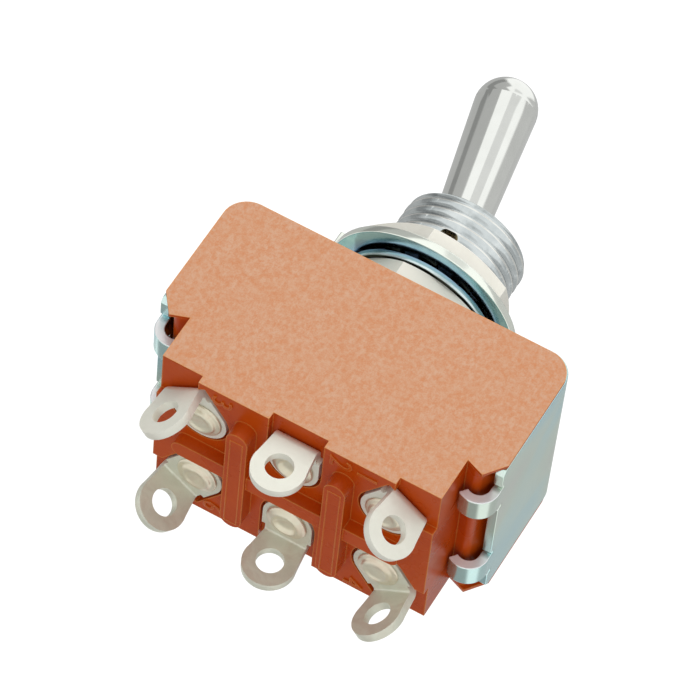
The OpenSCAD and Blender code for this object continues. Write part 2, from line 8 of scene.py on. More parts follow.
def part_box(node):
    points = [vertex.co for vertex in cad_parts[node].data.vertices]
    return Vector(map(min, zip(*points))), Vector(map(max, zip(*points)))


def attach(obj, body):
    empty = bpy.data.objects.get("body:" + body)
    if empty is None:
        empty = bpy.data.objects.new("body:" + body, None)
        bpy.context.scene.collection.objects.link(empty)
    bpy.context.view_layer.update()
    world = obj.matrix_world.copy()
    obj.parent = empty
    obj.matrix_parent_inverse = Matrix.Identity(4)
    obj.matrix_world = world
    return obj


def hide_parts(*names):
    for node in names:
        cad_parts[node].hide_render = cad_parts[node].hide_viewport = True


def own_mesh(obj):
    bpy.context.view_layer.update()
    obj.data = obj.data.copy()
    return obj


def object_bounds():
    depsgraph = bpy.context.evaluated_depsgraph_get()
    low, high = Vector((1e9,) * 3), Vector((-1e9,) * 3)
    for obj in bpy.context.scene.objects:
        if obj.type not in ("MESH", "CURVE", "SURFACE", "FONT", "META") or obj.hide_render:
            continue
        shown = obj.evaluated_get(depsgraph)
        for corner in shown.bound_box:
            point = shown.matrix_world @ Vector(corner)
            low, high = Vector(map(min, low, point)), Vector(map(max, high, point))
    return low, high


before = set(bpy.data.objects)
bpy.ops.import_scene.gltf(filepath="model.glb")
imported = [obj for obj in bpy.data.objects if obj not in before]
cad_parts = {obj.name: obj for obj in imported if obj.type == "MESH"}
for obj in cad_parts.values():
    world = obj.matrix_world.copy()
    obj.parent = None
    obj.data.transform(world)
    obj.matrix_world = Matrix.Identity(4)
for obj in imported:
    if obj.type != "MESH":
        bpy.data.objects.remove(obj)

cad_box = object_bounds()
MM = 0.001

# Sizes that follow the CAD source
CASE_HALF_W = 9.4 * MM
BLOCK_FACE_Z = -18.8 * MM
RIB_X = 4.7 * MM
RIB_HALF_T = 1.025 * MM
RIB_HALF_L = 7.0 * MM
RIB_H = 1.55 * MM
THREAD_R = 5.94 * MM
KEYWAY_W = 1.75 * MM
KEYWAY_FLOOR_R = 5.05 * MM
HOOK_Z = -13.4 * MM
LUG_FACE_Z = -18.85 * MM
FLOOR_Z = -15.5 * MM
INNER_Z_MIDDLE = -14.8 * MM
PIVOT = Vector((0, 0, 7 * MM))
LEVER_TILT = math.radians(11.5)
SPRING_TOP = 11.1 * MM

# Sizes set here. The thread is about a third as deep as a full one of its pitch
THREAD_PITCH = 1.0 * MM
THREAD_DEPTH = 0.2 * MM
THREAD_START = -0.92 * MM
THREAD_TURNS = 15
CREST_HALF_W = 0.055 * MM
KEYWAY_FOOT = 4.0 * MM
KEYWAY_END = 8.3 * MM
RIVET_SHANK_R = 1.24 * MM
NUMBER_RELIEF = 0.13 * MM
# Terminal numbers: text, where its foot and its top lie along X, and its middle along Y
NUMBERS = [("3", -8.0 * MM, -6.1 * MM, -8.2 * MM), ("2", 3.3 * MM, 5.4 * MM, -8.3 * MM),
           ("1", 5.9 * MM, 7.8 * MM, -8.2 * MM), ("6", -8.1 * MM, -6.2 * MM, 8.1 * MM),
           ("4", 5.8 * MM, 7.7 * MM, 8.5 * MM)]

# Points closer than this are one point in a CAD mesh, and in the pieces made here
CAD_WELD = 0.0005 * MM
PIECE_WELD = 0.002 * MM
# Faces that meet at less than this lie in one plane
FLAT_ANGLE = math.radians(0.4)


# ---- bench: the few operations that every piece goes through ----

def put_down():
    """Leaves edit mode and lets go of everything."""
    if bpy.context.object and bpy.context.object.mode != "OBJECT":
        bpy.ops.object.mode_set(mode="OBJECT")
    bpy.ops.object.select_all(action="DESELECT")


def pick_up(piece):
    put_down()
    piece.select_set(True)
    bpy.context.view_layer.objects.active = piece


def fresh(name):
    """Names the primitive that was just added, moves its place into its mesh and puts it down."""
    piece = bpy.context.object
    piece.name = name
    piece.data.name = name
    pick_up(piece)
    bpy.ops.object.transform_apply(location=True, rotation=True, scale=True)
    put_down()
    return piece


def block(name, low, high):
    size = [h - l for l, h in zip(low, high)]
    middle = [(h + l) / 2 for l, h in zip(low, high)]
    bpy.ops.mesh.primitive_cube_add(size=1, location=middle, scale=size)
    return fresh(name)


def finish_modifier(piece, kind, **values):
    """Adds a modifier with these values and applies it."""
    pick_up(piece)
    tool = piece.modifiers.new(kind.lower(), kind)
    for key, value in values.items():
        setattr(tool, key, value)
    bpy.ops.object.modifier_apply(modifier=tool.name)
    put_down()


def cut(piece, cutter):
    finish_modifier(piece, "BOOLEAN", operation="DIFFERENCE", object=cutter, solver="EXACT")
    bpy.data.objects.remove(cutter)


def smooth(piece, angle):
    pick_up(piece)
    bpy.ops.object.shade_smooth_by_angle(angle=math.radians(angle))
    put_down()


def copy_of(node, name):
    """Welded copy of a CAD node, to be worked on as a piece of its own."""
    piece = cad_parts[node].copy()
    piece.data = piece.data.copy()
    for key in list(piece.keys()):
        del piece[key]
    piece.name = name
    piece.data.name = name
    piece.parent = None
    piece.matrix_world = Matrix.Identity(4)
    bpy.context.scene.collection.objects.link(piece)
    pick_up(piece)
    bpy.ops.object.mode_set(mode="EDIT")
    bpy.ops.mesh.select_all(action="SELECT")
    bpy.ops.mesh.remove_doubles(threshold=CAD_WELD)
    bpy.ops.mesh.customdata_custom_splitnormals_clear()
    bpy.ops.mesh.dissolve_limited(angle_limit=FLAT_ANGLE)
    put_down()
    return piece


def eased(node, width):
    """Rounds the edges of a CAD node by modifiers, with its own points left alone."""
    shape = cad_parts[node]
    weld = shape.modifiers.new("weld", "WELD")
    weld.merge_threshold = CAD_WELD
    flat = shape.modifiers.new("flat", "DECIMATE")
    flat.decimate_type = "DISSOLVE"
    flat.angle_limit = FLAT_ANGLE
    edge = shape.modifiers.new("edge", "BEVEL")
    edge.width = width
    edge.segments = 2
    edge.limit_method = "ANGLE"
    edge.angle_limit = math.radians(28)
    edge.use_clamp_overlap = True
    even = shape.modifiers.new("even", "WEIGHTED_NORMAL")
    even.weight = 60
    for face in shape.data.polygons:
        face.use_smooth = True
    return shape


# ---- finishes: small kit for node trees ----

class Tree:
    """Adds nodes to a material or a group; a value that is a socket becomes a link."""

    def __init__(self, nodes_of):
        self.tree = nodes_of

    def set(self, socket, value):
        if isinstance(value, bpy.types.NodeSocket):
            self.tree.links.new(value, socket)
        elif value is not None:
            socket.default_value = value

    def node(self, kind, inputs=None, **settings):
        made = self.tree.nodes.new(kind)
        for key, value in settings.items():
            setattr(made, key, value)
        for key, value in (inputs or {}).items():
            self.set(made.inputs[key], value)
        return made

    def math(self, operation, a, b=None, clamp=False):
        made = self.node("ShaderNodeMath", operation=operation, use_clamp=clamp)
        self.set(made.inputs[0], a)
        self.set(made.inputs[1], b)
        return made.outputs[0]

    def span(self, value, low, high, out_low=0.0, out_high=1.0):
        made = self.node("ShaderNodeMapRange", {"Value": value, "From Min": low, "From Max": high,
                                                "To Min": out_low, "To Max": out_high})
        return made.outputs["Result"]

    def mix(self, share, a, b):
        made = self.node("ShaderNodeMix", data_type="RGBA")
        self.set(made.inputs[0], share)
        self.set(made.inputs[6], a)
        self.set(made.inputs[7], b)
        return made.outputs[2]

    def noise(self, where, scale, detail, rough=0.5, distortion=0.0):
        made = self.node("ShaderNodeTexNoise", {"Vector": where, "Scale": scale, "Detail": detail,
                                                "Roughness": rough, "Distortion": distortion})
        return made.outputs["Fac"]

    def place(self, stretch=(1, 1, 1), turn=(0, 0, 0), shift=(0, 0, 0), of=None):
        if of is None:
            of = self.node("ShaderNodeTexCoord").outputs["Object"]
        made = self.node("ShaderNodeMapping", {"Vector": of, "Scale": stretch,
                                               "Rotation": turn, "Location": shift})
        return made.outputs["Vector"]

    def parts(self, vector):
        return self.node("ShaderNodeSeparateXYZ", {"Vector": vector}).outputs


def new_group(name, inputs, outputs):
    """Empty node group, its tree, and the sockets inside it that lead in and out."""
    group = bpy.data.node_groups.new(name, "ShaderNodeTree")
    kinds = {"value": "NodeSocketFloat", "colour": "NodeSocketColor"}
    for label, kind, default in inputs:
        socket = group.interface.new_socket(label, in_out="INPUT", socket_type=kinds[kind])
        socket.default_value = default
    for label, kind in outputs:
        group.interface.new_socket(label, in_out="OUTPUT", socket_type=kinds[kind])
    tree = Tree(group)
    return group, tree, tree.node("NodeGroupInput").outputs, tree.node("NodeGroupOutput").inputs


def group_edge_mask():
    """Bright along edges, outer and inner, and 0 on flat faces; Breakup wears it away in patches."""
    group, t, ins, outs = new_group(
        "edge mask", [("Radius", "value", 0.12 * MM), ("Gain", "value", 6.0), ("Breakup", "value", 0.5)],
        [("Mask", "value")])
    rounded = t.node("ShaderNodeBevel", {"Radius": ins["Radius"]}, samples=6)
    plain = t.node("ShaderNodeNewGeometry")
    agree = t.node("ShaderNodeVectorMath", operation="DOT_PRODUCT")
    t.set(agree.inputs[0], rounded.outputs["Normal"])
    t.set(agree.inputs[1], plain.outputs["Normal"])
    lifted = t.math("MULTIPLY", t.math("SUBTRACT", 1.0, agree.outputs["Value"]), ins["Gain"], clamp=True)
    patches = t.noise(t.place(), 900.0, 4.0)
    keep = t.math("SUBTRACT", 1.0, t.math("MULTIPLY", ins["Breakup"], patches), clamp=True)
    t.set(outs["Mask"], t.math("MULTIPLY", lifted, keep, clamp=True))
    return group


def group_grain():
    """Two sizes of fine even noise: a mottle for colour and a height for bump."""
    group, t, ins, outs = new_group(
        "grain", [("Size mm", "value", 0.4), ("Contrast", "value", 1.0)],
        [("Mottle", "value"), ("Height", "value")])
    where = t.place()
    scale = t.math("DIVIDE", 1000.0, ins["Size mm"])
    broad = t.noise(where, scale, 4.0, 0.62)
    fine = t.noise(where, t.math("MULTIPLY", scale, 4.0), 3.0, 0.6)
    both = t.math("ADD", t.math("MULTIPLY", broad, 0.65), t.math("MULTIPLY", fine, 0.35))
    centred = t.math("MULTIPLY", t.math("SUBTRACT", both, 0.5), t.math("MULTIPLY", ins["Contrast"], 3.0))
    t.set(outs["Mottle"], t.math("ADD", centred, 0.5, clamp=True))
    t.set(outs["Height"], fine)
    return group


def group_plating():
    """Clouded plating: colour drift, roughness and fine rubbed scratches."""
    group, t, ins, outs = new_group(
        "plating", [("Light", "colour", (0.8, 0.8, 0.8, 1)), ("Dark", "colour", (0.6, 0.6, 0.6, 1)),
                    ("Cloud mm", "value", 4.0), ("Roughness", "value", 0.25), ("Wander", "value", 0.1),
                    ("Scratches", "value", 0.3)],
        [("Colour", "colour"), ("Roughness", "value"), ("Height", "value")])
    where = t.place()
    clouds = t.noise(where, t.math("DIVIDE", 1000.0, ins["Cloud mm"]), 5.0, 0.6, 0.4)
    share = t.span(clouds, 0.32, 0.68)
    rubbed = t.noise(t.place(stretch=(1, 1, 14), turn=(0.5, 0.9, 0.3)), 700.0, 4.0, 0.7)
    lines = t.math("MULTIPLY", t.span(rubbed, 0.58, 0.75), ins["Scratches"])
    t.set(outs["Colour"], t.mix(lines, t.mix(share, ins["Dark"], ins["Light"]), ins["Light"]))
    spread = t.math("MULTIPLY", t.math("SUBTRACT", clouds, 0.5), ins["Wander"])
    t.set(outs["Roughness"], t.math("ADD", t.math("ADD", ins["Roughness"], spread),
                                    t.math("MULTIPLY", lines, 0.15), clamp=True))
    t.set(outs["Height"], rubbed)
    return group


EDGE_MASK = group_edge_mask()
GRAIN = group_grain()
PLATING = group_plating()


def empty_finish(name):
    finish = bpy.data.materials.new(name)
    finish.use_nodes = True
    finish.node_tree.nodes.clear()
    return finish, Tree(finish.node_tree)


def new_finish(name):
    finish, t = empty_finish(name)
    shader = t.node("ShaderNodeBsdfPrincipled")
    t.set(t.node("ShaderNodeOutputMaterial").inputs["Surface"], shader.outputs["BSDF"])
    return finish, t, shader


def use(t, group, **values):
    """Places a group; an underscore in a name stands for a space."""
    made = t.node("ShaderNodeGroup", node_tree=group)
    for key, value in values.items():
        t.set(made.inputs[key.replace("_", " ")], value)
    return made.outputs


def bump(t, shader, height, distance, strength):
    made = t.node("ShaderNodeBump", {"Height": height, "Distance": distance, "Strength": strength})
    t.set(shader.inputs["Normal"], made.outputs["Normal"])


def rgb(red, green, blue):
    return (red, green, blue, 1.0)


def moulding():
    """Phenolic: pale speckled flat faces, deep glossy moulded sides, yellow along the edges as moulding flash
    and painted highlight.
    """
    finish, t, shader = new_finish("moulded_phenolic")
    spot = t.node("ShaderNodeTexCoord").outputs["Object"]
    across = t.math("ABSOLUTE", t.parts(spot)["Y"])
    on_flat = t.span(across, CASE_HALF_W - 0.06 * MM, CASE_HALF_W - 0.01 * MM)
    grain = use(t, GRAIN, Size_mm=0.42, Contrast=1.25)
    fibres = t.noise(t.place(stretch=(1, 1, 0.3), turn=(0, 0.6, 0)), 3600.0, 2.0, 0.6, 0.8)
    speck = t.math("ADD", grain["Mottle"], t.span(fibres, 0.56, 0.74, 0.0, 0.5), clamp=True)
    cloud = t.span(t.noise(t.place(), 320.0, 3.0, 0.6), 0.35, 0.65)
    flat_colour = t.mix(speck, rgb(0.665, 0.275, 0.125), rgb(0.690, 0.410, 0.270))
    flat_colour = t.mix(t.math("MULTIPLY", cloud, 0.22), flat_colour, rgb(0.660, 0.300, 0.145))
    flow = t.span(t.noise(t.place(stretch=(1, 1, 0.5)), 190.0, 3.0, 0.55), 0.3, 0.7)
    side_colour = t.mix(flow, rgb(0.48, 0.050, 0.001), rgb(0.55, 0.072, 0.003))
    side_colour = t.mix(t.math("MULTIPLY", grain["Mottle"], 0.22), side_colour, rgb(0.61, 0.115, 0.014))
    edge = use(t, EDGE_MASK, Radius=0.22 * MM, Gain=5.0, Breakup=0.6)
    base = t.mix(on_flat, side_colour, flat_colour)
    # Yellow edge colour: partly moulding flash, partly a painted highlight along the edges
    flash_and_highlight = t.math("MULTIPLY", edge["Mask"], 0.85)
    t.set(shader.inputs["Base Color"], t.mix(flash_and_highlight, base, rgb(0.80, 0.36, 0.085)))
    t.set(shader.inputs["Roughness"], t.math("ADD", t.math("MULTIPLY", on_flat, 0.26),
                                             t.span(flow, 0.0, 1.0, 0.24, 0.32)))
    shader.inputs["Specular IOR Level"].default_value = 0.18
    height = t.math("MULTIPLY", grain["Height"], t.span(on_flat, 0, 1, 0.2, 1.0))
    bump(t, shader, height, 0.02 * MM, 0.5)
    return finish


def plated(name, light, dark, cloud, rough, wander, scratches, edge_colour=None, metal=1.0):
    """A plated metal; returns the finish, its tree, shader and plating outputs for anything more."""
    finish, t, shader = new_finish(name)
    skin = use(t, PLATING, Light=light, Dark=dark, Cloud_mm=cloud, Roughness=rough, Wander=wander,
               Scratches=scratches)
    colour = skin["Colour"]
    if edge_colour:
        edge = use(t, EDGE_MASK, Radius=0.12 * MM, Gain=3.0, Breakup=0.15)
        colour = t.mix(edge["Mask"], colour, edge_colour)
    t.set(shader.inputs["Base Color"], colour)
    t.set(shader.inputs["Roughness"], skin["Roughness"])
    shader.inputs["Metallic"].default_value = metal
    bump(t, shader, skin["Height"], 0.003 * MM, 0.5)
    return finish, t, shader, skin


def zinc_sheet():
    """Passivated zinc: a drift of blue, green and straw. The sheared sides of the hooks are paler and less
    metallic, a painted highlight, and the edges carry a painted highlight too."""
    finish, t, shader, skin = plated("zinc_sheet", rgb(0.62, 0.78, 0.74), rgb(0.52, 0.70, 0.69), 5.0, 0.22,
                                     0.06, 0.12)
    drift = t.noise(t.place(stretch=(1, 1, 0.55), turn=(0.8, 0, 0)), 105.0, 2.5, 0.5, 0.5)
    tint = t.node("ShaderNodeValToRGB", {"Fac": drift})
    stops = tint.color_ramp.elements
    stops[0].position, stops[0].color = 0.36, rgb(0.40, 0.74, 0.84)
    stops[1].position, stops[1].color = 0.72, rgb(0.74, 0.64, 0.52)
    for spot, colour in ((0.47, rgb(0.54, 0.78, 0.74)), (0.58, rgb(0.66, 0.75, 0.58))):
        stops.new(spot).color = colour
    edge = use(t, EDGE_MASK, Radius=0.14 * MM, Gain=3.4, Breakup=0.1)
    colour = t.mix(0.5, skin["Colour"], tint.outputs["Color"])
    spot = t.parts(t.node("ShaderNodeTexCoord").outputs["Object"])
    facing = t.math("ABSOLUTE", t.parts(t.node("ShaderNodeNewGeometry").outputs["Normal"])["Y"])
    # Painted highlight on the hooks' sheared sides: a paler colour and less metal
    low_down = t.span(spot["Z"], HOOK_Z - 0.1 * MM, HOOK_Z + 0.8 * MM, 1.0, 0.0)
    hook_highlight = t.math("MULTIPLY", t.span(facing, 0.35, 0.8), low_down)
    colour = t.mix(hook_highlight, colour, rgb(0.90, 0.93, 0.94))
    t.set(shader.inputs["Metallic"], t.span(hook_highlight, 0.0, 1.0, 1.0, 0.25))
    # Painted highlight: edges are mixed towards near-white
    t.set(shader.inputs["Base Color"], t.mix(edge["Mask"], colour, rgb(0.92, 0.95, 0.96)))
    return finish


def from_axis(t):
    """How far a point lies from the bushing's axis."""
    axes = t.parts(t.node("ShaderNodeTexCoord").outputs["Object"])
    squares = [t.math("POWER", axes[axis], 2.0) for axis in ("X", "Y")]
    return t.math("POWER", t.math("ADD", *squares), 0.5)


def zinc_round(name, light, dark, inner, shade_full_to, shade_gone_at, rim=None):
    """Passivated zinc on a washer or ring: painted shade towards its bore, and a pale rim if it has one."""
    finish, t, shader, _ = plated(name, light, dark, 2.2, 0.16, 0.06, 0.2, rgb(0.88, 0.94, 0.92))
    colour = shader.inputs["Base Color"].links[0].from_socket
    out = from_axis(t)
    # Painted shade: towards the bore the colour turns to the given inner colour
    colour = t.mix(t.span(out, shade_full_to, shade_gone_at), inner, colour)
    if rim:
        ticks = t.span(t.noise(t.place(stretch=(1, 1, 0.2)), 900.0, 2.0, 0.5), 0.60, 0.70, 0.0, 0.35)
        pale = t.mix(ticks, rgb(0.84, 0.88, 0.80), rgb(0.55, 0.62, 0.58))
        colour = t.mix(t.span(out, rim - 0.10 * MM, rim - 0.02 * MM), colour, pale)
    t.set(shader.inputs["Base Color"], colour)
    return finish


def turned_nickel(name, light, dark, rough, centre=Vector((0, 0, 0)), tilt=0.0, crests=False):
    """Nickel on a turned part: fine rings around its own axis. With crests, a thread has painted highlights
    on its crests, dark smuts between them and brown painted shade in its keyway."""
    finish, t, shader, skin = plated(name, light, dark, 3.0, rough, 0.08, 0.35, rgb(0.93, 0.93, 0.90))
    own = t.place(turn=(0, tilt, 0), of=t.place(shift=tuple(-centre)))
    axes = t.parts(own)
    rings = t.noise(t.node("ShaderNodeCombineXYZ", {"Z": axes["Z"]}).outputs[0], 9000.0, 3.0, 0.7)
    wobble = t.noise(t.place(stretch=(1, 1, 6), of=own), 1500.0, 3.0, 0.6)
    height = t.math("ADD", t.math("MULTIPLY", rings, 0.7), t.math("MULTIPLY", wobble, 0.3))
    bump(t, shader, height, 0.004 * MM, 0.4)
    colour = t.mix(t.span(rings, 0.35, 0.65, 0.0, 0.2), skin["Colour"], dark)
    if crests:
        out = from_axis(t)
        # Painted highlight: thin cream lines on the thread crests
        crest_highlight = t.span(out, THREAD_R - 0.025 * MM, THREAD_R - 0.005 * MM)
        smut = t.span(t.noise(t.place(stretch=(1, 1, 0.5)), 520.0, 3.0, 0.6), 0.52, 0.70, 0.0, 0.75)
        low = t.span(out, THREAD_R - THREAD_DEPTH, THREAD_R - THREAD_DEPTH * 0.4, 1.0, 0.0)
        colour = t.mix(t.math("MULTIPLY", low, smut), colour, rgb(0.26, 0.29, 0.29))
        colour = t.mix(t.math("MULTIPLY", crest_highlight, 0.6), colour, rgb(0.93, 0.91, 0.84))
        # Painted shade: the keyway floor is coloured dark brown
        deep = t.span(out, KEYWAY_FLOOR_R + 0.1 * MM, KEYWAY_FLOOR_R + 0.45 * MM, 1.0, 0.0)
        forward = t.span(axes["Y"], 0.05 * MM - KEYWAY_FLOOR_R, 0.15 * MM - KEYWAY_FLOOR_R, 1.0, 0.0)
        colour = t.mix(t.math("MULTIPLY", deep, forward), colour, rgb(0.42, 0.33, 0.19))
    t.set(shader.inputs["Base Color"], colour)
    return finish


def silvered(name, light, dark, rough, stain, stain_share, metal):
    """Dull silvered brass of a lug or a rivet: satin face, brown tarnish in clouds, lighter edges."""
    finish, t, shader, skin = plated(name, light, dark, 2.6, rough, 0.08, 0.15, metal=metal)
    spots = t.noise(t.place(), 380.0, 4.0, 0.6, 0.6)
    tarnish = t.math("MULTIPLY", t.span(spots, 0.45, 0.72), stain_share)
    edge = use(t, EDGE_MASK, Radius=0.12 * MM, Gain=2.6, Breakup=0.2)
    colour = t.mix(tarnish, skin["Colour"], stain)
    t.set(shader.inputs["Base Color"], t.mix(t.math("MULTIPLY", edge["Mask"], 0.6), colour, light))
    pits = use(t, GRAIN, Size_mm=0.14, Contrast=1.0)
    bump(t, shader, pits["Height"], 0.006 * MM, 0.5)
    return finish


def driver_moulding():
    finish, t, shader = new_finish("black_nylon")
    grain = use(t, GRAIN, Size_mm=0.3, Contrast=0.8)
    colour = t.mix(grain["Mottle"], rgb(0.018, 0.018, 0.017), rgb(0.045, 0.043, 0.04))
    t.set(shader.inputs["Base Color"], colour)
    t.set(shader.inputs["Roughness"], t.span(grain["Mottle"], 0, 1, 0.42, 0.55))
    bump(t, shader, grain["Height"], 0.01 * MM, 0.4)
    return finish


PHENOLIC = moulding()
ZINC = zinc_sheet()
# Locking ring: bluish painted shade towards its bore
RING_ZINC = zinc_round("ring_zinc", rgb(0.52, 0.68, 0.68), rgb(0.36, 0.53, 0.57), rgb(0.40, 0.52, 0.72),
                       7.6 * MM, 8.4 * MM, rim=9.15 * MM)
# Washer: near-black painted shade on its teeth and on its part inside the rim
WASHER_ZINC = zinc_round("washer_zinc", rgb(0.70, 0.80, 0.80), rgb(0.50, 0.62, 0.66),
                         rgb(0.030, 0.030, 0.018), 7.32 * MM, 7.44 * MM)
BUSHING_NICKEL = turned_nickel("bushing_nickel", rgb(0.75, 0.79, 0.78), rgb(0.50, 0.545, 0.55), 0.2,
                               crests=True)
LEVER_NICKEL = turned_nickel("lever_nickel", rgb(0.82, 0.835, 0.80), rgb(0.76, 0.775, 0.74), 0.11,
                             centre=PIVOT, tilt=LEVER_TILT)
NUT_NICKEL = plated("nut_nickel", rgb(0.97, 0.94, 0.84), rgb(0.91, 0.88, 0.78), 2.5, 0.34, 0.08, 0.2,
                    rgb(0.99, 0.98, 0.94), metal=0.25)[0]
FRONT_SILVER = silvered("front_silver", rgb(0.87, 0.87, 0.77), rgb(0.80, 0.80, 0.70), 0.5,
                        rgb(0.66, 0.60, 0.50), 0.25, 0.25)
BACK_SILVER = silvered("back_silver", rgb(0.82, 0.84, 0.71), rgb(0.70, 0.71, 0.59), 0.46,
                       rgb(0.55, 0.45, 0.34), 0.5, 0.3)
RIVET_SILVER = silvered("rivet_silver", rgb(0.86, 0.83, 0.67), rgb(0.74, 0.69, 0.52), 0.34,
                        rgb(0.66, 0.46, 0.32), 0.55, 0.5)
BRASS = plated("sheet_brass", rgb(0.80, 0.62, 0.30), rgb(0.62, 0.44, 0.18), 3.0, 0.3, 0.12, 0.3,
               rgb(0.92, 0.78, 0.46))[0]
NYLON = driver_moulding()


def paint(piece, finish):
    piece.data.materials.clear()
    piece.data.materials.append(finish)


def part_of(piece, body, finish):
    """Gives a new piece its finish, in its one material slot, and its body."""
    paint(piece, finish)
    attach(piece, body)


# ---- CAD nodes that show as they are, with eased edges ----

def dress_nodes():
    rows = [("frame", ZINC, 0.27), ("jam_nut", NUT_NICKEL, 0.12),
            ("face_nut", NUT_NICKEL, 0.12), ("tooth_washer", WASHER_ZINC, 0.16),
            ("locking_ring", RING_ZINC, 0.14), ("lever", LEVER_NICKEL, 0.10), ("pivot_pin", ZINC, 0.08),
            ("actuator", NYLON, 0.15)]
    for n in range(1, 7):
        rows.append((f"lug_{n}", FRONT_SILVER if n <= 3 else BACK_SILVER, 0.12))
    rows += [(f"contact_{n}", RIVET_SILVER, 0.06) for n in (1, 3, 4, 6)]
    for side in ("front", "back"):
        rows += [(f"fulcrum_{side}", BRASS, 0.08), (f"rocker_{side}", BRASS, 0.08),
                 (f"rocker_tips_{side}", RIVET_SILVER, 0.05), (f"plunger_{side}", BRASS, 0.06)]
    for node, finish, width in rows:
        paint(eased(node, width * MM), finish)


# ---- springs ----

def coil_spring(side):
    """Spring between the driver and a plunger: a smoothed copy of its CAD node, carried by the lever."""
    spring = copy_of(f"spring_{side}", f"coil_spring_{side}")
    smooth(spring, 40)
    along = Vector((-math.sin(LEVER_TILT), 0, math.cos(LEVER_TILT)))
    low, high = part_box(f"spring_{side}")
    top = PIVOT - along * SPRING_TOP
    top.y = (low[1] + high[1]) / 2
    part_of(spring, "lever", ZINC)
    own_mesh(spring)
    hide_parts(f"spring_{side}")


# ---- threaded bushing ----

def close_ends(piece):
    """Fills every open loop of a shell and turns its faces outwards."""
    pick_up(piece)
    bpy.ops.object.mode_set(mode="EDIT")
    bpy.ops.mesh.select_all(action="SELECT")
    bpy.ops.mesh.fill_holes(sides=0)
    bpy.ops.mesh.select_all(action="SELECT")
    bpy.ops.mesh.normals_make_consistent(inside=False)
    put_down()
    return piece


def ring_of_points(name, points):
    """Closed outline in the XZ plane, from a circle whose points are moved into place."""
    bpy.ops.mesh.primitive_circle_add(vertices=len(points), radius=1, location=(0, 0, 0))
    outline = fresh(name)
    for vertex, (out, up) in zip(outline.data.vertices, points):
        vertex.co = (out, 0, up)
    return outline


def thread_groove():
    """Cutter for the thread: one section with a rounded root, swept up a helix, its two ends closed."""
    outside = THREAD_R + 0.2 * MM
    half = THREAD_PITCH / 2 - CREST_HALF_W
    low = THREAD_START
    shoulder, aside = THREAD_R - THREAD_DEPTH * 0.82, half * 0.45
    section = ring_of_points("thread_groove", [
        (THREAD_R - THREAD_DEPTH, low), (shoulder, low + aside), (THREAD_R, low + half),
        (outside, low + half), (outside, low - half), (THREAD_R, low - half), (shoulder, low - aside)])
    finish_modifier(section, "SCREW", screw_offset=THREAD_PITCH, iterations=THREAD_TURNS, steps=96,
                    render_steps=96, use_smooth_shade=False)
    return close_ends(section)


def keyway_end():
    """Cutter that squares off the upper end of the keyway, its two corners rounded."""
    slot = block("keyway_end", (-KEYWAY_W / 2, -THREAD_R - 1 * MM, KEYWAY_FOOT),
                 (KEYWAY_W / 2, -KEYWAY_FLOOR_R, KEYWAY_END))
    pick_up(slot)
    bpy.ops.object.mode_set(mode="EDIT")
    bpy.ops.mesh.select_all(action="DESELECT")
    bpy.ops.object.mode_set(mode="OBJECT")
    for edge in slot.data.edges:
        ends = [slot.data.vertices[v].co for v in edge.vertices]
        at_top = all(e.z > KEYWAY_END - 0.01 * MM for e in ends)
        edge.select = at_top and abs(ends[0].y - ends[1].y) > 0.1 * MM
    bpy.ops.object.mode_set(mode="EDIT")
    bpy.ops.mesh.select_mode(type="EDGE")
    bpy.ops.mesh.bevel(offset=0.5 * MM, segments=4)
    put_down()
    return slot


def threaded_bushing():
    """The bushing with a shallow thread, its keyway and bores."""
    bushing = copy_of("bushing", "bushing_threaded")
    cut(bushing, thread_groove())
    cut(bushing, keyway_end())
    finish_modifier(bushing, "WELD", merge_threshold=PIECE_WELD)
    finish_modifier(bushing, "BEVEL", width=0.025 * MM, segments=2, limit_method="ANGLE",
                    angle_limit=math.radians(35))
    smooth(bushing, 40)
    part_of(bushing, "switch_body", BUSHING_NICKEL)
    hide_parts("bushing")


# ---- moulded case ----

def sharp_edges(piece, least, chosen):
    """Picks, in edit mode, the edges sharper than a number of degrees whose two ends both pass a test."""
    pick_up(piece)
    bpy.ops.object.mode_set(mode="EDIT")
    bpy.ops.mesh.select_mode(type="EDGE")
    bpy.ops.mesh.select_all(action="DESELECT")
    bpy.ops.mesh.edges_select_sharp(sharpness=math.radians(least))
    bpy.ops.object.mode_set(mode="OBJECT")
    points = piece.data.vertices
    for edge in piece.data.edges:
        edge.select = edge.select and all(chosen(points[v].co) for v in edge.vertices)
    bpy.ops.object.mode_set(mode="EDIT")


def moulded_case():
    """The case with well rounded ribs and softly broken edges everywhere else."""
    case = copy_of("case", "case_moulding")
    sharp_edges(case, 40, lambda p: p.z < BLOCK_FACE_Z - 1.0 * MM)
    bpy.ops.mesh.bevel(offset=0.24 * MM, segments=4, clamp_overlap=True)
    put_down()
    finish_modifier(case, "BEVEL", width=0.09 * MM, segments=3, limit_method="ANGLE",
                    angle_limit=math.radians(32), use_clamp_overlap=True)
    smooth(case, 32)
    finish_modifier(case, "WEIGHTED_NORMAL", weight=60, keep_sharp=True)
    part_of(case, "switch_body", PHENOLIC)
    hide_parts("case")


# ---- rivets ----

# Heads as radius and height, in millimetres, from the rim in to the axis
STEPPED_HEAD = [(1.86, 0.0), (1.95, -0.05), (1.93, -0.13), (1.83, -0.2), (1.62, -0.23), (1.5, -0.27),
                (1.42, -0.4), (1.3, -0.5), (1.12, -0.55), (0.96, -0.53), (0.84, -0.46), (0.6, -0.44),
                (0.3, -0.46), (0.0, -0.47)]
DISHED_HEAD = [(1.84, 0.0), (1.94, -0.06), (1.95, -0.16), (1.86, -0.27), (1.62, -0.37), (1.42, -0.48),
               (1.27, -0.55), (1.16, -0.55), (1.06, -0.48), (0.92, -0.32), (0.74, -0.22), (0.35, -0.2),
               (0.0, -0.2)]


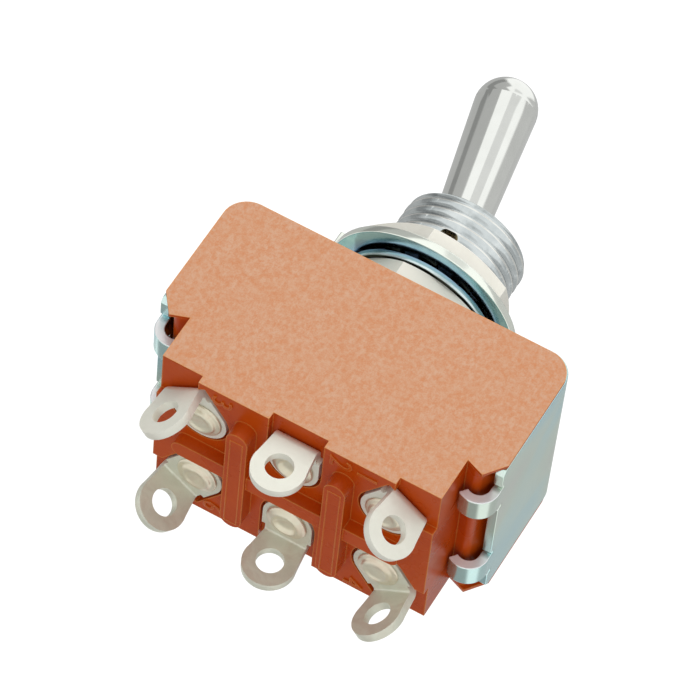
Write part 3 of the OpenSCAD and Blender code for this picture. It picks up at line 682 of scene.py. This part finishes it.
def rivet_turned(number):
    """Turned rivet over a lug: a shallow stepped head, or a dished one in the middle column."""
    low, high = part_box(f"rivet_{number}")
    centre = (Vector(low) + Vector(high)) / 2
    face = LUG_FACE_Z
    middle = number in (2, 5)
    inner_z = INNER_Z_MIDDLE if middle else FLOOR_Z
    inner_r = 1.45 * MM if middle else 1.75 * MM
    outline = [(0, high[2]), (inner_r, high[2]), (inner_r, inner_z), (RIVET_SHANK_R, inner_z),
               (RIVET_SHANK_R, face)]
    outline += [(out * MM, face + up * MM) for out, up in (DISHED_HEAD if middle else STEPPED_HEAD)]
    rivet = ring_of_points(f"rivet_turned_{number}", outline)
    finish_modifier(rivet, "SCREW", angle=math.radians(360), steps=64, render_steps=64,
                    use_merge_vertices=True, merge_threshold=PIECE_WELD, use_smooth_shade=False)
    pick_up(rivet)
    bpy.ops.object.mode_set(mode="EDIT")
    bpy.ops.mesh.select_all(action="SELECT")
    bpy.ops.mesh.remove_doubles(threshold=PIECE_WELD)
    bpy.ops.mesh.dissolve_degenerate(threshold=0.001 * MM)
    bpy.ops.mesh.normals_make_consistent(inside=False)
    put_down()
    # Hand-set heads are a little lumpy and off centre
    head_foot = face - 0.03 * MM
    for vertex in rivet.data.vertices:
        if vertex.co.z < head_foot:
            spot = vertex.co * 620 + Vector((number * 7.3, number * 3.1, 0))
            lump = noise.noise(spot) * 0.05 * MM
            vertex.co.z = min(vertex.co.z + lump, head_foot)
            drift = noise.noise(Vector((number * 5.7, 0.4, vertex.co.z * 900))) * 0.07 * MM
            vertex.co.x += drift
            vertex.co.y -= drift * 0.6
    rivet.data.transform(Matrix.Translation((centre.x, centre.y, 0)))
    smooth(rivet, 50)
    part_of(rivet, "switch_body", RIVET_SILVER)
    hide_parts(f"rivet_{number}")


# ---- marks and ribs on the terminal face ----

def terminal_numbers():
    """Raised numbers beside the lugs; their tops point along +X, and they are read from below."""
    reading = Matrix(((0, 1, 0), (1, 0, 0), (0, 0, -1))).to_4x4()
    for text, low, high, across in NUMBERS:
        bpy.ops.object.text_add(location=(0, 0, 0))
        mark = bpy.context.object
        mark.data.body = text
        mark.data.align_x = "CENTER"
        mark.data.extrude = 0.5
        mark.data.resolution_u = 5
        bpy.ops.object.convert(target="MESH")
        tall = max(v.co.y for v in mark.data.vertices)
        scale = (high - low) / tall
        mark.matrix_world = (Matrix.Translation((low, across, BLOCK_FACE_Z)) @ reading
                             @ Matrix.Diagonal((scale, scale, NUMBER_RELIEF * 2, 1)))
        number = fresh(f"number_{text}")
        finish_modifier(number, "WELD", merge_threshold=PIECE_WELD)
        finish_modifier(number, "BEVEL", width=0.03 * MM, segments=2, limit_method="ANGLE",
                        angle_limit=math.radians(50))
        smooth(number, 40)
        part_of(number, "switch_body", PHENOLIC)


def rib_panels():
    """Fine raised frame on the top of each rib between the columns of lugs."""
    top = BLOCK_FACE_Z - RIB_H
    for side, name in ((-1, "rib_panel_left"), (1, "rib_panel_right")):
        bpy.ops.mesh.primitive_plane_add(size=1, location=(side * RIB_X, 0.2 * MM, top - 0.03 * MM),
                                         rotation=(math.pi, 0, 0))
        bpy.context.object.scale = (2 * RIB_HALF_T - 0.75 * MM, 2 * RIB_HALF_L - 1.5 * MM, 1)
        panel = fresh(name)
        pick_up(panel)
        bpy.ops.object.mode_set(mode="EDIT")
        bpy.ops.mesh.select_all(action="SELECT")
        bpy.ops.mesh.inset(thickness=0.13 * MM)
        bpy.ops.mesh.extrude_region_move(TRANSFORM_OT_translate={"value": (0, 0, 0.035 * MM)})
        put_down()
        finish_modifier(panel, "SOLIDIFY", thickness=0.09 * MM, offset=-1)
        finish_modifier(panel, "BEVEL", width=0.02 * MM, segments=2, limit_method="ANGLE",
                        angle_limit=math.radians(30))
        smooth(panel, 40)
        part_of(panel, "switch_body", PHENOLIC)


for side in ("front", "back"):
    coil_spring(side)
dress_nodes()
moulded_case()
threaded_bushing()
for number in range(1, 7):
    rivet_turned(number)
terminal_numbers()
rib_panels()


# ---- backdrop, light and camera ----

def bearing(azimuth, elevation):
    """Direction from the switch: azimuth 0 is towards -Y, 90 towards +X."""
    a, e = math.radians(azimuth), math.radians(elevation)
    return Vector((math.sin(a) * math.cos(e), -math.cos(a) * math.cos(e), math.sin(e)))


# Angles in degrees, lens and sensor in millimetres
CAMERA_TARGET = Vector((-3.195, 0.897, -2.875)) * MM
CAMERA_DISTANCE = 422.26 * MM
CAMERA_AZIMUTH = 15.447
CAMERA_ELEVATION = -30.831
CAMERA_ROLL = 35.06
LENS = 251.55
SENSOR = 36.0


def long_lens_camera():
    """Camera that looks up at the switch, rolled about its line of sight."""
    way = bearing(CAMERA_AZIMUTH, CAMERA_ELEVATION)
    data = bpy.data.cameras.new("camera")
    data.lens = LENS
    data.sensor_width = SENSOR
    data.clip_start = 0.02
    data.clip_end = 20
    camera = bpy.data.objects.new("camera", data)
    bpy.context.scene.collection.objects.link(camera)
    turn = (-way).to_track_quat("-Z", "Y").to_matrix() @ Matrix.Rotation(math.radians(CAMERA_ROLL), 3, "Z")
    camera.matrix_world = Matrix.Translation(CAMERA_TARGET + way * CAMERA_DISTANCE) @ turn.to_4x4()
    bpy.context.scene.camera = camera


def lamp(name, azimuth, elevation, distance, size, power):
    """Soft square lamp that faces the switch, unseen in polished surfaces."""
    way = bearing(azimuth, elevation)
    data = bpy.data.lights.new(name, "AREA")
    data.size = size
    data.energy = power
    light = bpy.data.objects.new(name, data)
    light.location = way * distance
    light.rotation_euler = (-way).to_track_quat("-Z", "Y").to_euler()
    light.visible_glossy = False
    bpy.context.scene.collection.objects.link(light)


def board(name, azimuth, elevation, width, height, grey, distance=0.66):
    """Grey board that only polished surfaces see."""
    way = bearing(azimuth, elevation)
    bpy.ops.mesh.primitive_plane_add(size=1, location=(0, 0, 0))
    made = bpy.context.object
    made.name = name
    made.matrix_world = (Matrix.Translation(way * distance) @ way.to_track_quat("Z", "Y").to_matrix().to_4x4()
                         @ Matrix.Diagonal((width, height, 1, 1)))
    made.visible_camera = False
    made.visible_diffuse = False
    made.visible_shadow = False
    made.visible_transmission = False
    finish, t = empty_finish(name)
    axes = t.parts(t.node("ShaderNodeTexCoord").outputs["Object"])
    sides = [t.span(t.math("ABSOLUTE", axes[axis]), 0.40, 0.5, 1.0, 0.0) for axis in ("X", "Y")]
    solid = t.math("MULTIPLY", sides[0], sides[1], clamp=True)
    glow = t.node("ShaderNodeEmission", {"Color": rgb(grey, grey, grey), "Strength": 1.0})
    clear = t.node("ShaderNodeBsdfTransparent")
    both = t.node("ShaderNodeMixShader", {0: solid, 1: clear.outputs[0], 2: glow.outputs[0]})
    t.set(t.node("ShaderNodeOutputMaterial").inputs["Surface"], both.outputs[0])
    paint(made, finish)
    put_down()


def floor():
    """Pale floor under the switch. Seen from below it is clear, and it lets the lamps through."""
    low = cad_box[0].z - 0.05 * MM
    bpy.ops.mesh.primitive_plane_add(size=6, location=(0, 0, low))
    slab = bpy.context.object
    slab.name = "floor"
    slab.visible_shadow = False
    slab.visible_diffuse = False
    slab.visible_glossy = False
    slab.visible_transmission = False
    finish, t = empty_finish("pale_floor")
    pale = t.node("ShaderNodeBsdfDiffuse", {"Color": rgb(0.86, 0.86, 0.85)})
    clear = t.node("ShaderNodeBsdfTransparent")
    behind = t.node("ShaderNodeNewGeometry").outputs["Backfacing"]
    both = t.node("ShaderNodeMixShader", {0: behind, 1: pale.outputs[0], 2: clear.outputs[0]})
    t.set(t.node("ShaderNodeOutputMaterial").inputs["Surface"], both.outputs[0])
    paint(slab, finish)
    put_down()


def studio_world():
    """White to the camera and to polished surfaces, and a dimmer light from all round on the rest."""
    world = bpy.data.worlds.new("studio")
    bpy.context.scene.world = world
    world.use_nodes = True
    world.node_tree.nodes.clear()
    t = Tree(world.node_tree)
    ray = t.node("ShaderNodeLightPath").outputs
    polished = t.math("ADD", ray["Is Glossy Ray"], ray["Is Transmission Ray"])
    seen = t.math("ADD", ray["Is Camera Ray"], polished, clamp=True)
    ambient = t.node("ShaderNodeBackground", {"Color": rgb(1, 1, 1), "Strength": 0.5})
    white = t.node("ShaderNodeBackground", {"Color": rgb(1, 1, 1), "Strength": 1.12})
    both = t.node("ShaderNodeMixShader", {0: seen, 1: ambient.outputs[0], 2: white.outputs[0]})
    t.set(t.node("ShaderNodeOutputWorld").inputs["Surface"], both.outputs[0])


long_lens_camera()
lamp("key", -14, 40, 0.55, 0.40, 1.40)
lamp("side", 54, 34, 0.60, 0.36, 0.50)
lamp("low", 20, -52, 0.55, 0.40, 0.62)
lamp("top", -60, 65, 0.60, 0.30, 0.30)
board("board_left_back", -118, 31, 0.85, 0.9, 0.50)
board("board_left", -60, 31, 0.66, 0.9, 0.50)
board("board_left_strip", -84, 31, 0.26, 0.9, 0.30, 0.62)
board("board_front", 18, 31, 0.30, 0.7, 0.82)
board("board_right", 104, 31, 0.76, 0.9, 0.60)
board("board_right_back", 160, 31, 0.76, 0.9, 0.56)
board("board_low", -164, -31, 0.9, 0.6, 0.40)
floor()
studio_world()
bpy.context.scene.view_settings.view_transform = "Standard"
